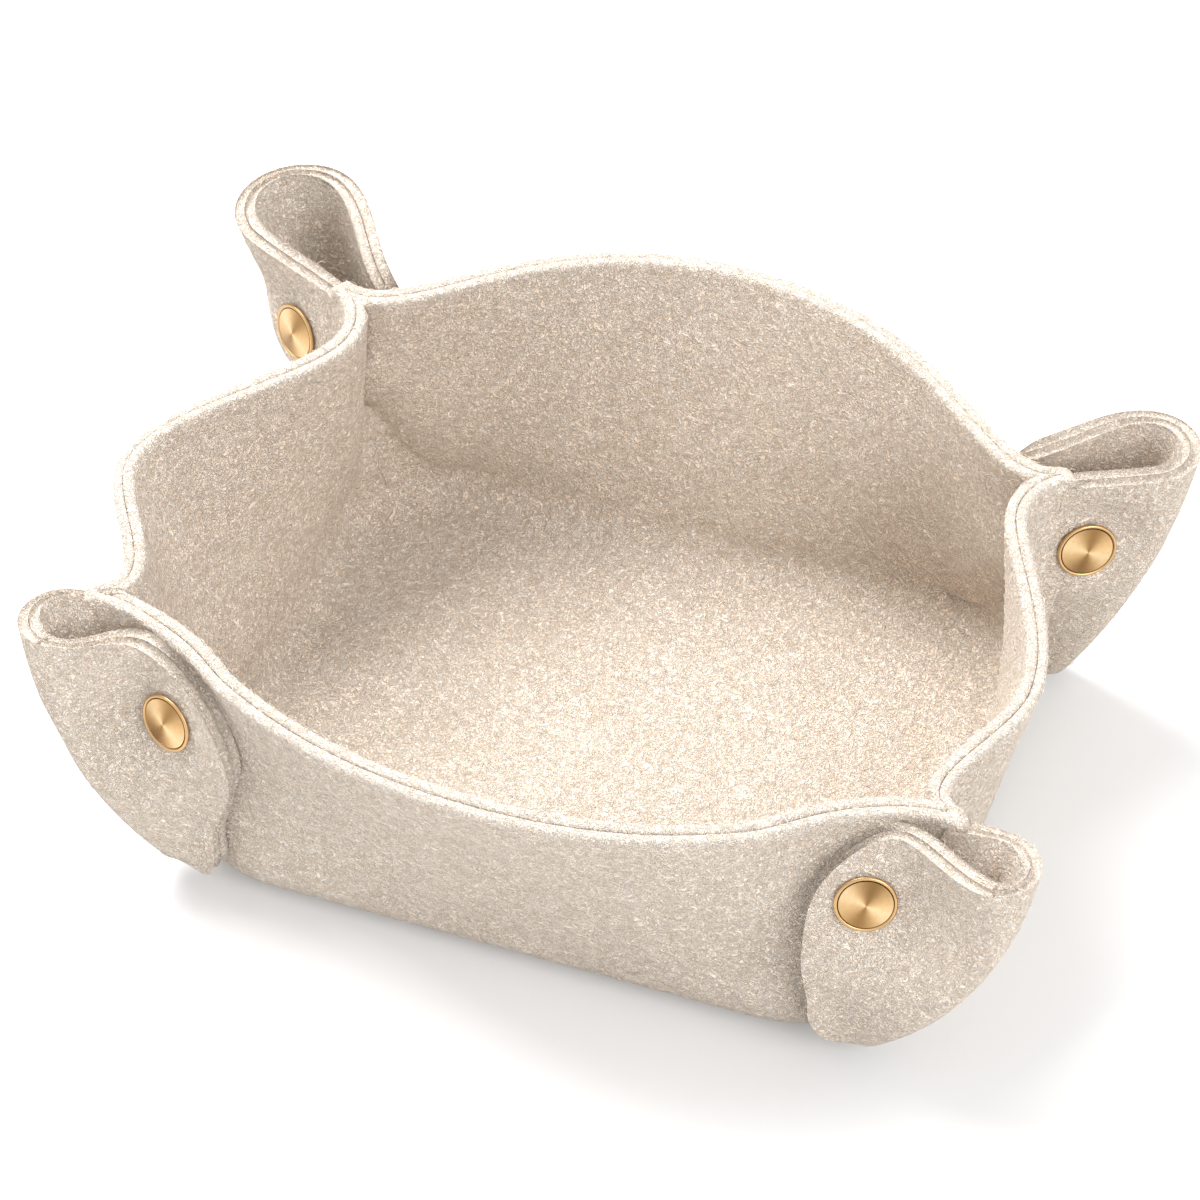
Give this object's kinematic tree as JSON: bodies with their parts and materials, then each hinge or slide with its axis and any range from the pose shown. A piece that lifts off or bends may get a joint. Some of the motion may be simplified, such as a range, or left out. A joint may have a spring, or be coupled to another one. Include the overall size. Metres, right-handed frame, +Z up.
{
  "type": "desk tray",
  "caption": "Soft-sided felt desk tray with bowed walls, pinched corners with rolled ears, and brass snap fasteners; front corner flaps unsnap and open.",
  "frame": {"origin": "middle of the underside, on the surface that the tray stands on", "axes": "+X to the tray's right along its length, +Y to its back, +Z up"},
  "size_m": [0.1762, 0.1316, 0.0612],
  "materials": {
    "wool_felt": "soft mottled cream wool felt",
    "brass": "satin circular-brushed brass",
    "spring_steel": "plain nickel-bright steel"
  },
  "bodies": {
    "tray": {"felt_shell": "wool_felt", "felt_lining": "wool_felt", "fin_outer_fl": "wool_felt", "fin_inner_fl": "wool_felt", "fin_outer_fr": "wool_felt", "fin_inner_fr": "wool_felt", "ear_outer_bl": "wool_felt", "ear_inner_bl": "wool_felt", "ear_outer_br": "wool_felt", "ear_inner_br": "wool_felt", "snap_stud_fl": "spring_steel", "snap_post_fl": "brass", "snap_stud_fr": "spring_steel", "snap_post_fr": "brass", "snap_cap_bl": "brass", "snap_socket_bl": "spring_steel", "snap_ring_bl": "spring_steel", "snap_stud_bl": "spring_steel", "snap_post_bl": "brass", "snap_cap_br": "brass", "snap_socket_br": "spring_steel", "snap_ring_br": "spring_steel", "snap_stud_br": "spring_steel", "snap_post_br": "brass"},
    "flap_fl": {"flap_outer_fl": "wool_felt", "flap_inner_fl": "wool_felt", "snap_cap_fl": "brass", "snap_socket_fl": "spring_steel", "snap_ring_fl": "spring_steel"},
    "flap_fr": {"flap_outer_fr": "wool_felt", "flap_inner_fr": "wool_felt", "snap_cap_fr": "brass", "snap_socket_fr": "spring_steel", "snap_ring_fr": "spring_steel"}
  },
  "joints": [
    {"name": "flap_bend_fl", "type": "hinge", "parent": "tray", "child": "flap_fl", "pos_m": [-0.0759, -0.04701, 0.02843], "axis": [0.4407, -0.0306, -0.8971], "range_deg": [0, 120]},
    {"name": "flap_bend_fr", "type": "hinge", "parent": "tray", "child": "flap_fr", "pos_m": [0.0759, -0.04701, 0.02843], "axis": [0.4407, 0.0306, 0.8971], "range_deg": [0, 120]}
  ]
}
